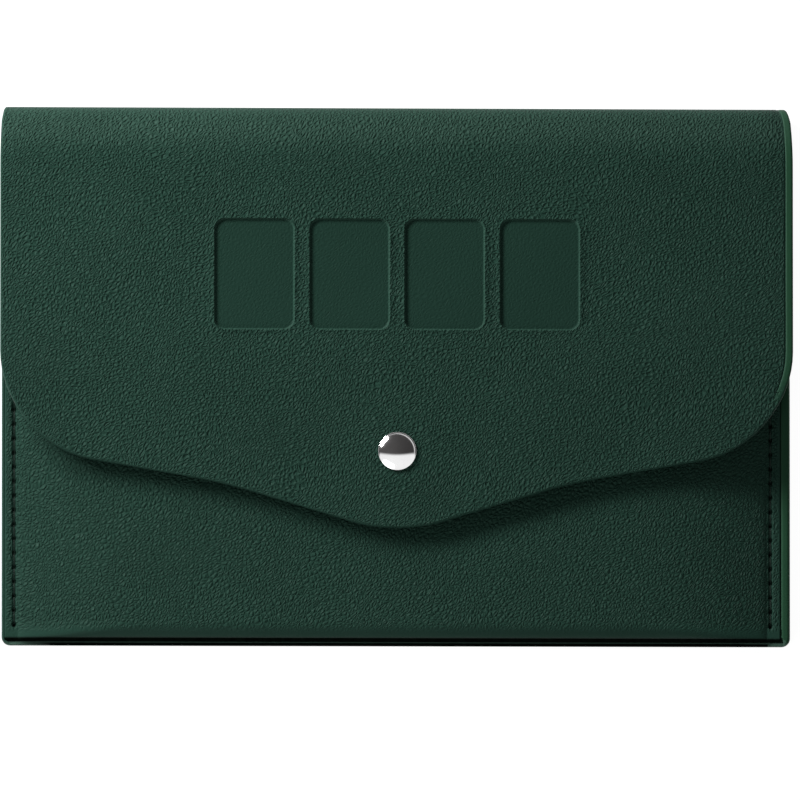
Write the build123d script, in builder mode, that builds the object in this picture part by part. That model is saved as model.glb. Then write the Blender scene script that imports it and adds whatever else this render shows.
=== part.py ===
from build123d import *

import os
from math import cos, floor, radians, sin, tan

# Mahjong card holder: a leather pouch that lies on its back, with a flap that
# folds over its front and closes on one snap. +X runs across its width, +Y
# towards the fold, +Z out of its front. The origin is at the middle of its base.

# Overall sizes in millimetres
closed_length = 156.0
flap_width = 230.0
side_draw_in = 1.0

# Layers of the soft wall, from the outside in
leather_thickness = 1.1
foam_thickness = 1.1
lining_thickness = 0.5
hem_width = 8.0
lining_inset = 2.0
edge_radius = 0.9

# Pocket
pocket_room = 5.4
mouth_below_fold = 30.0
rim_width = 1.4
roll_radius = 5.8
base_corner_radius = 2.0

# Raised face of the front panel, from its stitched flange to its crown
puff_beyond_seam = 0.9
foot_radius = 0.8
foot_turn = 70.0
shoulder_radius = 2.2
face_slope = 13.0

# Fold, seen from its side
back_bend_radius = 4.5
front_bend_radius = 4.5
crown_radius = 58.0
crown_turn = 20.0

# Free edge of the flap, seen from the front
flap_length = 122.4
tip_angle = 16.7
tip_radius = 43.0
shoulder_half_span = 50.0
shoulder_angle = 10.0
shoulder_bend_radius = 120.0
flap_corner_radius = 32.0

# Blank tile marks pressed into the flap
tile_width = 23.0
tile_height = 32.0
tile_gap = 4.6
tile_depth = 0.5
tile_corner_radius = 3.0
tiles_below_fold = 48.7
tile_count = 4

# Side seams
seam_inset = 4.2
seam_pitch = 4.15
seam_end = 6.0
groove_width = 1.0
groove_depth = 0.6
thread_diameter = 0.6
stitch_hole_diameter = 0.9
thread_recess = 0.05

# Snap
snap_below_fold = 100.0
cap_diameter = 11.1
cap_height = 2.2
cap_lip_height = 0.5
cap_post_diameter = 3.6
cap_post_bore = 2.6
curl_thickness = 0.3
curl_reach = 0.5
socket_diameter = 9.6
socket_height = 2.1
socket_plate_thickness = 0.35
socket_bore = 4.9
spring_wire_diameter = 0.5
spring_groove_height = 0.6
spring_gap_angle = 40.0
stud_base_diameter = 8.6
stud_base_thickness = 0.4
stud_neck_diameter = 3.8
stud_neck_height = 0.6
stud_head_diameter = 4.3
stud_height = 1.6
eyelet_post_diameter = 3.0
eyelet_bore = 2.0
eyelet_flange_diameter = 8.0
eyelet_flange_thickness = 0.4
eyelet_curl_reach = 0.35
snap_clearance = 0.3
fit_clearance = 0.05

# Heights above the base
hem_depth = leather_thickness + foam_thickness
wall = hem_depth + lining_thickness
pocket_top = wall + pocket_room
front_face = pocket_top + lining_thickness + leather_thickness
flange_top = wall + lining_thickness + leather_thickness
flap_under = front_face + stud_base_thickness + snap_clearance + socket_height
flap_top = flap_under + wall

# Places along the length and the width
pouch_width = flap_width - 2 * side_draw_in
fold_y = closed_length / 2
base_y = -closed_length / 2
front_y = base_y + rim_width
mouth_y = fold_y - mouth_below_fold
snap_y = fold_y - snap_below_fold
front_half = pouch_width / 2 - rim_width
seam_x = pouch_width / 2 - seam_inset
puff_x = seam_x - puff_beyond_seam
first_stitch_y = base_y + seam_end
stitch_count = floor((mouth_y - seam_pitch / 2 - first_stitch_y) / seam_pitch) + 1
last_stitch_y = first_stitch_y + (stitch_count - 1) * seam_pitch
mid_stitch_y = (first_stitch_y + last_stitch_y) / 2

# Fold section: a back bend, a straight side, a front bend and a long crown
bend_turn = 90.0 - crown_turn
crown_rise = crown_radius * (1 - cos(radians(crown_turn)))
side_top = flap_top - front_bend_radius * sin(radians(bend_turn)) - crown_rise
back_center = (fold_y - back_bend_radius, back_bend_radius)
front_center = (fold_y - front_bend_radius, side_top)
crown_center = (
    front_center[0] - (crown_radius - front_bend_radius) * cos(radians(bend_turn)),
    front_center[1] - (crown_radius - front_bend_radius) * sin(radians(bend_turn)),
)

# Hinge lines that keep the leather's unrolled length. The back is cut half way
# round its bend, and the flap where the front bend meets the crown.
back_slack = back_bend_radius * (2 - radians(90)) / 2
back_axis = (fold_y - back_slack, back_slack)
back_cut = -45.0
unrolled = radians(bend_turn) * front_bend_radius + radians(crown_turn) * crown_radius
front_slack = (flap_top + fold_y - crown_center[0] - side_top - unrolled) / 2
front_axis = (fold_y - front_slack, flap_top - front_slack)
print("fold hinge at y, z", back_axis, "flap hinge at y, z", front_axis)


def polar(center, radius, angle):
    """Point at an angle on a circle of the fold's section."""
    return (
        center[0] + radius * cos(radians(angle)),
        center[1] + radius * sin(radians(angle)),
    )


def back_layer(near, far):
    """Section of the back, between two depths below its outer face."""
    beyond = base_y - hem_width
    with BuildSketch(Plane.YZ) as section:
        with BuildLine():
            outer = Line((beyond, near), (back_center[0], near))
            bend = CenterArc(back_center, back_bend_radius - near, -90, 90 + back_cut)
            Line(bend @ 1, polar(back_center, back_bend_radius - far, back_cut))
            CenterArc(back_center, back_bend_radius - far, -90, 90 + back_cut)
            inner = Line((back_center[0], far), (beyond, far))
            Line(inner @ 1, outer @ 0)
        make_face()
    return section.sketch


def fold_layer(near, far):
    """Section of the fold's side, between two depths below its outer face."""
    with BuildSketch(Plane.YZ) as section:
        with BuildLine():
            for depth in (near, far):
                CenterArc(back_center, back_bend_radius - depth, back_cut, -back_cut)
                Line((fold_y - depth, back_bend_radius), (fold_y - depth, side_top))
                CenterArc(front_center, front_bend_radius - depth, 0, bend_turn)
            Line(
                polar(back_center, back_bend_radius - near, back_cut),
                polar(back_center, back_bend_radius - far, back_cut),
            )
            Line(
                polar(front_center, front_bend_radius - near, bend_turn),
                polar(front_center, front_bend_radius - far, bend_turn),
            )
        make_face()
    return section.sketch


def flap_layer(near, far):
    """Section of the flap and its crown, between two depths below its outer face."""
    with BuildSketch(Plane.YZ) as section:
        with BuildLine():
            for depth in (near, far):
                CenterArc(crown_center, crown_radius - depth, bend_turn, crown_turn)
                Line((crown_center[0], flap_top - depth), (base_y, flap_top - depth))
            Line(
                polar(front_center, front_bend_radius - near, bend_turn),
                polar(front_center, front_bend_radius - far, bend_turn),
            )
            Line((base_y, flap_top - near), (base_y, flap_top - far))
        make_face()
    return section.sketch


def back_blank(inset):
    """Block over the back, inset from its sides and its base."""
    with BuildPart() as blank:
        with BuildSketch():
            with Locations((0, (base_y + inset + fold_y + hem_width) / 2)):
                Rectangle(pouch_width - 2 * inset, fold_y + hem_width - base_y - inset)
        extrude(amount=flap_top)
        if base_corner_radius > inset:
            corners = blank.edges().filter_by(Axis.Z).group_by(Axis.Y)[0]
            fillet(corners, radius=base_corner_radius - inset)
    return blank.part


def flap_blank(inset):
    """Block over the flap, with its rounded corners and its shallow pointed edge."""
    half = flap_width / 2
    beyond = fold_y + 2 * hem_width
    apex = flap_length + tip_radius * (1 / cos(radians(tip_angle)) - 1)
    shoulder = apex - shoulder_half_span * tan(radians(tip_angle))
    corner = shoulder - (half - shoulder_half_span) * tan(radians(shoulder_angle))
    with BuildPart() as blank:
        with BuildSketch():
            with BuildLine():
                Polyline(
                    (-half, beyond),
                    (-half, fold_y - corner),
                    (-shoulder_half_span, fold_y - shoulder),
                    (0, fold_y - apex),
                    (shoulder_half_span, fold_y - shoulder),
                    (half, fold_y - corner),
                    (half, beyond),
                    close=True,
                )
            make_face()
            if inset:
                offset(amount=-inset, kind=Kind.INTERSECTION)
        extrude(amount=flap_top + cap_height)
        bends = (
            (2, flap_corner_radius - inset),
            (1, shoulder_bend_radius + inset),
            (0, tip_radius - inset),
        )
        for row_from_tip, radius in bends:
            uprights = blank.edges().filter_by(Axis.Z).group_by(Axis.Y)
            fillet(uprights[row_from_tip], radius=radius)
    return blank.part


def pocket_form(depth):
    """Solid under the front panel, with its face lowered by a depth."""
    rise = JernArc((puff_x, flange_top - depth), (-1, 0), foot_radius + depth, -foot_turn)
    shoulder = JernArc(rise @ 1, rise % 1, shoulder_radius - depth, foot_turn - face_slope)
    swell = JernArc(shoulder @ 1, shoulder % 1, swell_radius - depth, face_slope)
    with BuildPart() as form:
        with BuildSketch(Plane.XZ.offset(-mouth_y)):
            with BuildLine():
                Line((0, 0), (front_half, 0))
                Line((front_half, 0), (front_half, flange_top - depth))
                Line((front_half, flange_top - depth), (puff_x, flange_top - depth))
                add(rise)
                add(shoulder)
                add(swell)
                Line(swell @ 1, (0, front_face - depth))
                Line((0, front_face - depth), (0, 0))
            make_face()
            mirror(about=Plane.YZ)
        extrude(amount=mouth_y - front_y)
        with BuildSketch(Plane.YZ):
            with BuildLine():
                wall_y = front_y + depth
                roll = CenterArc(
                    (front_y + roll_radius, front_face - roll_radius),
                    roll_radius - depth, 90, 90,
                )
                Line((mouth_y, front_face - depth), roll @ 0)
                Line(roll @ 1, (wall_y, 0))
                Line((wall_y, 0), (mouth_y, 0))
                Line((mouth_y, 0), (mouth_y, front_face - depth))
            make_face()
        extrude(amount=pouch_width / 2, both=True, mode=Mode.INTERSECT)
    return form.part


# The long swell of the front panel takes up what the seam's puff leaves of its height
puff_rise = foot_radius * (1 - cos(radians(foot_turn))) + shoulder_radius * (
    cos(radians(face_slope)) - cos(radians(foot_turn))
)
swell_rise = front_face - flange_top - puff_rise
swell_radius = swell_rise / (1 - cos(radians(face_slope)))
print("swell radius", swell_radius, "stitches a seam", stitch_count)

os.makedirs("parts", exist_ok=True)
stitches = [
    (side * seam_x, first_stitch_y + index * seam_pitch)
    for side in (-1, 1)
    for index in range(stitch_count)
]
groove_spans = [(side * seam_x, mid_stitch_y) for side in (-1, 1)]
groove_length = last_stitch_y - first_stitch_y + thread_diameter + 2 * fit_clearance
snap_plane = Plane(origin=(0, snap_y, 0), x_dir=(1, 0, 0), z_dir=(0, -1, 0))
snap_axis = Axis((0, snap_y, 0), (0, 0, 1))

# Soft filling of the back, hidden inside it
with BuildPart() as back_foam:
    extrude(back_layer(leather_thickness, hem_depth), amount=pouch_width / 2, both=True)
    add(back_blank(hem_width), mode=Mode.INTERSECT)
back_foam.part.label = "back_foam"
export_step(back_foam.part, "parts/back_foam.step")

# Outer leather of the back, turned in round the filling as a hem
with BuildPart() as back_panel:
    extrude(back_layer(0, hem_depth), amount=pouch_width / 2, both=True)
    add(back_blank(0), mode=Mode.INTERSECT)
    underside = back_panel.faces().sort_by(Axis.Z)[0].outer_wire().edges()
    bend_edge = underside.sort_by(Axis.Y)[-1]
    fillet([edge for edge in underside if edge != bend_edge], radius=edge_radius)
    add(back_foam.part, mode=Mode.SUBTRACT)
    with BuildSketch():
        with Locations(*stitches):
            Circle(stitch_hole_diameter / 2)
    extrude(amount=wall, mode=Mode.SUBTRACT)
    with BuildSketch():
        with Locations(*groove_spans):
            Rectangle(groove_width, groove_length)
    extrude(amount=thread_diameter + thread_recess, mode=Mode.SUBTRACT)
back_panel.part.label = "back_panel"
export_step(back_panel.part, "parts/back_panel.step")

# Lining of the back, the pocket's rear wall
with BuildPart() as back_lining:
    extrude(back_layer(hem_depth, wall), amount=pouch_width / 2, both=True)
    add(back_blank(lining_inset), mode=Mode.INTERSECT)
    with BuildSketch():
        with Locations(*stitches):
            Circle(stitch_hole_diameter / 2)
    extrude(amount=wall, mode=Mode.SUBTRACT)
back_lining.part.label = "back_lining"
export_step(back_lining.part, "parts/back_lining.step")

# Front panel, puffed inside its seams and turned under along its bottom
with BuildPart() as front_panel:
    add(pocket_form(0))
    add(pocket_form(leather_thickness), mode=Mode.SUBTRACT)
    with BuildSketch(Plane.XY.offset(wall)):
        with Locations((0, front_y + hem_width / 2)):
            Rectangle(2 * front_half, hem_width)
    extrude(amount=leather_thickness)
    split(bisect_by=Plane.XY.offset(wall), keep=Keep.TOP)
    with BuildSketch(Plane.XY.offset(wall)):
        with Locations(*stitches):
            Circle(stitch_hole_diameter / 2)
        with Locations((0, snap_y)):
            Circle(eyelet_post_diameter / 2 + fit_clearance)
    extrude(amount=flap_top, mode=Mode.SUBTRACT)
    with BuildSketch(Plane.XY.offset(flange_top - groove_depth)):
        with Locations(*groove_spans):
            Rectangle(groove_width, groove_length)
    extrude(amount=groove_depth + lining_thickness, mode=Mode.SUBTRACT)
front_panel.part.label = "front_panel"
export_step(front_panel.part, "parts/front_panel.step")

# Lining of the front panel
with BuildPart() as front_lining:
    add(pocket_form(leather_thickness))
    add(pocket_form(leather_thickness + lining_thickness), mode=Mode.SUBTRACT)
    split(bisect_by=Plane.XY.offset(wall), keep=Keep.TOP)
    with BuildSketch(Plane.XY.offset(wall)):
        with Locations((0, front_y + hem_width / 2)):
            Rectangle(2 * front_half, hem_width)
    extrude(amount=leather_thickness, mode=Mode.SUBTRACT)
    with BuildSketch(Plane.XY.offset(wall)):
        with Locations(*stitches):
            Circle(stitch_hole_diameter / 2)
        with Locations((0, snap_y)):
            Circle(eyelet_post_diameter / 2 + fit_clearance)
    extrude(amount=flap_top, mode=Mode.SUBTRACT)
front_lining.part.label = "front_lining"
export_step(front_lining.part, "parts/front_lining.step")

# Side of the fold, in the same three layers
with BuildPart() as fold_foam:
    extrude(fold_layer(leather_thickness, hem_depth), amount=flap_width / 2 - hem_width, both=True)
fold_foam.part.label = "fold_foam"
export_step(fold_foam.part, "parts/fold_foam.step")

with BuildPart() as fold_panel:
    extrude(fold_layer(0, hem_depth), amount=flap_width / 2, both=True)
    add(fold_foam.part, mode=Mode.SUBTRACT)
fold_panel.part.label = "fold_panel"
export_step(fold_panel.part, "parts/fold_panel.step")

with BuildPart() as fold_lining:
    extrude(fold_layer(hem_depth, wall), amount=flap_width / 2 - lining_inset, both=True)
fold_lining.part.label = "fold_lining"
export_step(fold_lining.part, "parts/fold_lining.step")

# Soft filling of the flap
with BuildPart() as flap_foam:
    extrude(flap_layer(leather_thickness, hem_depth), amount=flap_width / 2, both=True)
    add(flap_blank(hem_width), mode=Mode.INTERSECT)
    with BuildSketch():
        with Locations((0, snap_y)):
            Circle(cap_post_diameter / 2 + fit_clearance)
    extrude(amount=flap_top, mode=Mode.SUBTRACT)
flap_foam.part.label = "flap_foam"
export_step(flap_foam.part, "parts/flap_foam.step")

# Outer leather of the flap, with blank tiles pressed into its face
tiles_y = fold_y - tiles_below_fold
with BuildPart() as flap_panel:
    extrude(flap_layer(0, hem_depth), amount=flap_width / 2, both=True)
    add(flap_blank(0), mode=Mode.INTERSECT)
    face_edges = flap_panel.faces().sort_by(Axis.Z)[-1].outer_wire().edges()
    crown_edge = face_edges.sort_by(Axis.Y)[-1]
    fillet([edge for edge in face_edges if edge != crown_edge], radius=edge_radius)
    with BuildSketch():
        with Locations((0, snap_y)):
            Circle(cap_post_diameter / 2 + fit_clearance)
    extrude(amount=flap_top, mode=Mode.SUBTRACT)
    add(flap_foam.part, mode=Mode.SUBTRACT)
    with BuildSketch(Plane.XY.offset(flap_top - tile_depth)):
        with Locations((0, tiles_y)):
            with GridLocations(tile_width + tile_gap, 0, tile_count, 1):
                RectangleRounded(tile_width, tile_height, tile_corner_radius)
    extrude(amount=tile_depth, mode=Mode.SUBTRACT)
flap_panel.part.label = "flap_panel"
export_step(flap_panel.part, "parts/flap_panel.step")

with BuildPart() as flap_lining:
    extrude(flap_layer(hem_depth, wall), amount=flap_width / 2, both=True)
    add(flap_blank(lining_inset), mode=Mode.INTERSECT)
    with BuildSketch():
        with Locations((0, snap_y)):
            Circle(cap_post_diameter / 2 + fit_clearance)
    extrude(amount=flap_top, mode=Mode.SUBTRACT)
flap_lining.part.label = "flap_lining"
export_step(flap_lining.part, "parts/flap_lining.step")

# Seam threads: the upper one shows on the front, the lower one on the back,
# and they lock inside the wall
lock_z = flange_top / 2
upper_run_z = flange_top - groove_depth
for side, side_name in ((-1, "left"), (1, "right")):
    seam = [spot for spot in stitches if spot[0] * side > 0]
    run_length = last_stitch_y - first_stitch_y + thread_diameter
    with BuildPart() as upper_thread:
        with BuildSketch(Plane.XY.offset(upper_run_z)):
            with Locations((side * seam_x, mid_stitch_y)):
                SlotOverall(run_length, thread_diameter, rotation=90)
        extrude(amount=thread_diameter)
        with BuildSketch(Plane.XY.offset(upper_run_z + thread_diameter / 2)):
            with Locations(*seam):
                Circle(stitch_hole_diameter / 2)
        extrude(amount=thread_diameter, mode=Mode.SUBTRACT)
        with BuildSketch(Plane.XY.offset(lock_z)):
            with Locations(*seam):
                Circle(thread_diameter / 2)
        extrude(amount=upper_run_z - lock_z)
    upper_thread.part.label = side_name + "_needle_thread"
    export_step(upper_thread.part, "parts/" + side_name + "_needle_thread.step")

    with BuildPart() as lower_thread:
        with BuildSketch(Plane.XY.offset(thread_recess)):
            with Locations((side * seam_x, mid_stitch_y)):
                SlotOverall(run_length, thread_diameter, rotation=90)
        extrude(amount=thread_diameter)
        with BuildSketch(Plane.XY.offset(thread_recess + thread_diameter)):
            with Locations(*seam):
                Circle(thread_diameter / 2)
        extrude(amount=lock_z - thread_recess - thread_diameter)
    lower_thread.part.label = side_name + "_bobbin_thread"
    export_step(lower_thread.part, "parts/" + side_name + "_bobbin_thread.step")

# Snap cap: a low dome whose post goes down through the flap and is curled over
post_end_z = flap_under - socket_plate_thickness - curl_thickness
with BuildPart() as snap_cap:
    with BuildSketch(snap_plane):
        with BuildLine():
            Line((0, flap_top), (cap_diameter / 2 - cap_lip_height / 2, flap_top))
            lip = ThreePointArc(
                (cap_diameter / 2 - cap_lip_height / 2, flap_top),
                (cap_diameter / 2, flap_top + cap_lip_height / 2),
                (cap_diameter / 2 - cap_lip_height / 2, flap_top + cap_lip_height),
            )
            TangentArc((0, flap_top + cap_height), lip @ 1, tangent=(1, 0))
            Line((0, flap_top + cap_height), (0, flap_top))
        make_face()
        with Locations((cap_post_diameter / 4 + cap_post_bore / 4, (flap_top + post_end_z) / 2)):
            Rectangle((cap_post_diameter - cap_post_bore) / 2, flap_top - post_end_z)
        curl_middle = (cap_post_diameter + curl_reach - curl_thickness) / 2
        with Locations((curl_middle, post_end_z + curl_thickness / 2)):
            Rectangle(curl_reach + curl_thickness, curl_thickness)
    revolve(axis=snap_axis)
snap_cap.part.label = "snap_cap"
export_step(snap_cap.part, "parts/snap_cap.step")

# Snap socket, under the flap, with a groove for its spring
spring_z = flap_under - socket_height + curl_thickness
with BuildPart() as snap_socket:
    with BuildSketch(snap_plane):
        with Locations((socket_diameter / 4, flap_under - socket_height / 2)):
            Rectangle(socket_diameter / 2, socket_height)
        with Locations((socket_bore / 4, flap_under - socket_plate_thickness - socket_height / 2)):
            Rectangle(socket_bore / 2, socket_height, mode=Mode.SUBTRACT)
        plate_hole = cap_post_diameter / 2 + 2 * fit_clearance
        with Locations((cap_post_diameter / 4, flap_under)):
            Rectangle(plate_hole, 2 * socket_plate_thickness + fit_clearance, mode=Mode.SUBTRACT)
        with Locations((socket_bore / 2, spring_z + spring_groove_height / 2)):
            Rectangle(2 * spring_groove_height, spring_groove_height, mode=Mode.SUBTRACT)
    revolve(axis=snap_axis)
    rims = snap_socket.edges().filter_by(GeomType.CIRCLE).sort_by(SortBy.RADIUS)[-2:]
    fillet(rims, radius=curl_thickness)
snap_socket.part.label = "snap_socket"
export_step(snap_socket.part, "parts/snap_socket.step")

# Split ring that grips the stud, drawn opened
spring_ring_radius = socket_bore / 2 + fit_clearance + spring_wire_diameter / 2
with BuildPart() as socket_spring:
    with BuildSketch(snap_plane):
        with Locations((spring_ring_radius, spring_z + spring_groove_height / 2)):
            Circle(spring_wire_diameter / 2)
    revolve(axis=snap_axis, revolution_arc=360 - spring_gap_angle)
socket_spring.part.label = "socket_spring"
export_step(socket_spring.part, "parts/socket_spring.step")

# Stud on the front panel, held by an eyelet from inside the pocket
stud_top = front_face + stud_height
with BuildPart() as snap_stud:
    with BuildSketch(snap_plane):
        with Locations((stud_base_diameter / 4, front_face + stud_base_thickness / 2)):
            Rectangle(stud_base_diameter / 2, stud_base_thickness)
        with Locations((stud_neck_diameter / 4, front_face + stud_height / 2)):
            Rectangle(stud_neck_diameter / 2, stud_height)
        head_low = front_face + stud_base_thickness + stud_neck_height
        with Locations((stud_head_diameter / 4, (head_low + stud_top) / 2)):
            Rectangle(stud_head_diameter / 2, stud_top - head_low)
        post_hole = eyelet_post_diameter / 2 + 2 * fit_clearance
        with Locations((eyelet_post_diameter / 4, front_face + stud_height / 2)):
            Rectangle(post_hole, stud_height + fit_clearance, mode=Mode.SUBTRACT)
    revolve(axis=snap_axis)
    head = snap_stud.edges().group_by(Axis.Z)[-1].sort_by(SortBy.RADIUS)[-1]
    fillet(head, radius=curl_thickness / 2)
snap_stud.part.label = "snap_stud"
export_step(snap_stud.part, "parts/snap_stud.step")

with BuildPart() as stud_eyelet:
    with BuildSketch(snap_plane):
        flange_z = pocket_top - eyelet_flange_thickness
        flange_middle = (eyelet_flange_diameter + eyelet_bore) / 4
        with Locations((flange_middle, flange_z + eyelet_flange_thickness / 2)):
            Rectangle((eyelet_flange_diameter - eyelet_bore) / 2, eyelet_flange_thickness)
        tube_top = stud_top + curl_thickness
        with Locations((eyelet_post_diameter / 4 + eyelet_bore / 4, (flange_z + tube_top) / 2)):
            Rectangle((eyelet_post_diameter - eyelet_bore) / 2, tube_top - flange_z)
        with Locations((eyelet_post_diameter / 2, stud_top + curl_thickness / 2)):
            Rectangle(2 * eyelet_curl_reach, curl_thickness)
    revolve(axis=snap_axis)
stud_eyelet.part.label = "stud_eyelet"
export_step(stud_eyelet.part, "parts/stud_eyelet.step")
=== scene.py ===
# %% [markdown]
# A mahjong card holder in leather.
#
# The object is a flat leather pouch that lies on its back. One strip of leather makes its back, bends
# up and over at the top, and comes down over the front as a flap, which closes on a single snap. The
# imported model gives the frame: it says where each part is and what turns about what, in metres. This
# file dresses it, piece by piece, with meshes and materials that look like the real thing.

# %% The frame
from math import cos, erf, exp, pi, radians, sin, tan

import bmesh
import bpy
import numpy as np
from mathutils import Matrix, Vector, noise


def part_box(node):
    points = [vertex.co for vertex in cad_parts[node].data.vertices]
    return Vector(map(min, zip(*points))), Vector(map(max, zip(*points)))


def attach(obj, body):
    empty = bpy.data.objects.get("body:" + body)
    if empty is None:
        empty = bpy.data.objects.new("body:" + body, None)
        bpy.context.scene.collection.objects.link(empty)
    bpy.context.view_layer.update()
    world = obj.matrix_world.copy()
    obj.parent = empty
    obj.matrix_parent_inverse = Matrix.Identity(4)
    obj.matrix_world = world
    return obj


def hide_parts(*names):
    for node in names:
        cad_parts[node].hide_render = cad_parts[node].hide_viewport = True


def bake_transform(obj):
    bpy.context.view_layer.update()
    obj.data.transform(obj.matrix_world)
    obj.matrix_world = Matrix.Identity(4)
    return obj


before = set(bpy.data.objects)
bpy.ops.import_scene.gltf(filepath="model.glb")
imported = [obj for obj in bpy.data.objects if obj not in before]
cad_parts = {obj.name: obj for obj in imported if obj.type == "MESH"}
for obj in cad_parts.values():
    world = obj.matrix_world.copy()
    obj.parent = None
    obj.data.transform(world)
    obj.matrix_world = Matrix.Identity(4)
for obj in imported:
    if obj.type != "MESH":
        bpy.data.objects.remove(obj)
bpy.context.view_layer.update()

scene = bpy.context.scene

# %% [markdown]
# Whatever the frame can tell is read from it, so that the dressing keeps to the model if a size there
# changes. The thicknesses and the bends can't be read from a box, so they are named here, as a maker
# would note them: leather, filling, lining, and the radii of the fold. The fold's upper bend is rounder
# here than in the solid, because the light on the real one fades over about a centimetre.

# %% Sizes
mm = 0.001
flap_low, flap_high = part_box("flap_panel")
back_low, back_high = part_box("back_panel")
fold_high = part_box("fold_panel")[1]
front_low, front_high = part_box("front_panel")
cap_low, cap_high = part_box("snap_cap")

flap_half = flap_high.x
pouch_half = back_high.x
flap_top = flap_high.z
base_y = back_low.y
fold_y = fold_high.y
flap_length = fold_y - flap_low.y
snap_y = (cap_low.y + cap_high.y) / 2
cap_radius = (cap_high.x - cap_low.x) / 2

leather = 1.1 * mm
filling = 1.1 * mm
lining = 0.5 * mm
hem_depth = leather + filling
wall = hem_depth + lining
hem_width = 8 * mm
lining_inset = 2 * mm

back_bend = 4.5 * mm
front_bend = 6.5 * mm
crown = 36 * mm
crown_turn = radians(22)
bend_turn = radians(90) - crown_turn
side_top = flap_top - front_bend * sin(bend_turn) - crown * (1 - cos(crown_turn))
print("flap", flap_half * 2, "by", flap_length, "snap at", snap_y)

# %% [markdown]
# Leather is cut flat and bent afterwards, so each layer of the wall is modelled the same way. A flat
# pattern has x across it, s along the strip of leather from the pouch's base, and its depth below the
# outer face. The function below then lays any point of a pattern on the real section: the back, the
# first bend, the fold's side, the second bend, a short crown and the flat flap.

# %% Laying a pattern on the wall
back_end = fold_y - back_bend - base_y
side_start = back_end + radians(90) * back_bend
side_end = side_start + side_top - back_bend
bend_end = side_end + bend_turn * front_bend
crown_end = bend_end + crown_turn * crown
seam = (side_start + side_end) / 2
crown_y = fold_y - front_bend - (crown - front_bend) * cos(bend_turn)


def on_wall(x, s, depth):
    """Where a point of the unrolled wall lies on the folded pouch."""
    if s < back_end:
        return Vector((x, base_y + s, depth))
    if s < side_start:
        turn = (s - back_end) / back_bend
        reach = back_bend - depth
        return Vector((x, fold_y - back_bend + reach * sin(turn), back_bend - reach * cos(turn)))
    if s < side_end:
        return Vector((x, fold_y - depth, back_bend + s - side_start))
    if s < bend_end:
        turn = (s - side_end) / front_bend
        reach = front_bend - depth
        return Vector((x, fold_y - front_bend + reach * cos(turn), side_top + reach * sin(turn)))
    if s < crown_end:
        turn = bend_turn + (s - bend_end) / crown
        reach = crown - depth
        return Vector((x, crown_y + reach * cos(turn), flap_top - crown + reach * sin(turn)))
    return Vector((x, crown_y - (s - crown_end), flap_top - depth))


def along_flap(y):
    """How far along the strip a place on the flat flap is."""
    return crown_end + crown_y - y


def smooth_step(value):
    """Eases from 0 to 1."""
    value = min(1.0, max(0.0, value))
    return value * value * (3 - 2 * value)


print("strip length", round(along_flap(flap_low.y) / mm, 1), "mm, seam at", round(seam / mm, 1))

# %% [markdown]
# A tight bend pulls leather in at its sides, so the strip is a little narrower where it turns over the
# fold than anywhere else. That rounds the pouch's two upper corners. The right rim of the back also
# stands out further than the left one, because the front isn't stitched on quite in the middle.

# %% The strip's width
fold_pull = 1.65 * mm
bend_pull = 0.48 * mm
pull_reach = 14 * mm
back_pull_reach = 6 * mm
fold_half = flap_half - fold_pull
back_right = pouch_half + 0.95 * mm
front_shift = -0.65 * mm


def flap_drawn(x, s):
    """Where a place across the flap comes to lie once the fold has drawn it in."""
    if s < side_end:
        pull = fold_pull
    elif s < bend_end:
        pull = fold_pull + (s - side_end) / (bend_end - side_end) * (bend_pull - fold_pull)
    else:
        pull = bend_pull * max(0.0, 1 - (s - bend_end) / pull_reach) ** 2
    return x * (1 - pull / flap_half)


def back_drawn(x, s):
    """Where a place across the back comes to lie once the fold has drawn it in."""
    half = pouch_half if x < 0 else back_right
    share = smooth_step((s - back_end + back_pull_reach) / (side_start - back_end + back_pull_reach))
    return x * (1 - share * (half - fold_half) / half)


print("half widths: flap", flap_half / mm, "fold", fold_half / mm, "back", pouch_half / mm, back_right / mm)

# %% [markdown]
# A pattern starts as a few corners, and a vertex bevel rounds each corner like a pair of scissors
# would. Cuts made square across the mesh give it rows of points where it has to bend or dip later.
# Distances to the cut edge are measured against the outline itself, so that rolled edges, creases and
# painted highlights can follow it all the way round.

# %% Cutting and measuring patterns
hair = 1e-6
touch = 1e-7


def cut_out(corners, roundings):
    """A flat face with the given corners, where each rounding is a corner, its radius and its turn."""
    bm = bmesh.new()
    points = [bm.verts.new((x, s, 0)) for x, s in corners]
    bm.faces.new(points)
    for corner, radius, turn, segments in roundings:
        bmesh.ops.bevel(
            bm, geom=[points[corner]], offset=radius * tan(turn / 2), offset_type="OFFSET",
            segments=segments, profile=0.5, affect="VERTICES", material=-1, clamp_overlap=False,
        )
    bmesh.ops.recalc_face_normals(bm, faces=bm.faces[:])
    if bm.faces[:][0].normal.z < 0:
        bmesh.ops.reverse_faces(bm, faces=bm.faces[:])
    return bm


def outline_of(bm):
    """The corners of a flat face, as a closed ring of points."""
    return np.array([vert.co.xy for vert in bm.faces[:][0].verts])


def cut_across(bm, axis, places):
    """Cuts a mesh square across x (0) or along the strip (1) at each place."""
    normal = Vector((0, 0, 0))
    normal[axis] = 1
    for place in sorted(places):
        bmesh.ops.bisect_plane(
            bm, geom=bm.verts[:] + bm.edges[:] + bm.faces[:], dist=hair,
            plane_co=normal * place, plane_no=normal,
        )


def push_down(bm, faces, drop):
    """Extrudes faces downwards, which gives a flat pattern its thickness."""
    made = bmesh.ops.extrude_face_region(bm, geom=faces)
    moved = [item for item in made["geom"] if isinstance(item, bmesh.types.BMVert)]
    bmesh.ops.translate(bm, vec=(0, 0, -drop), verts=moved)


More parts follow.
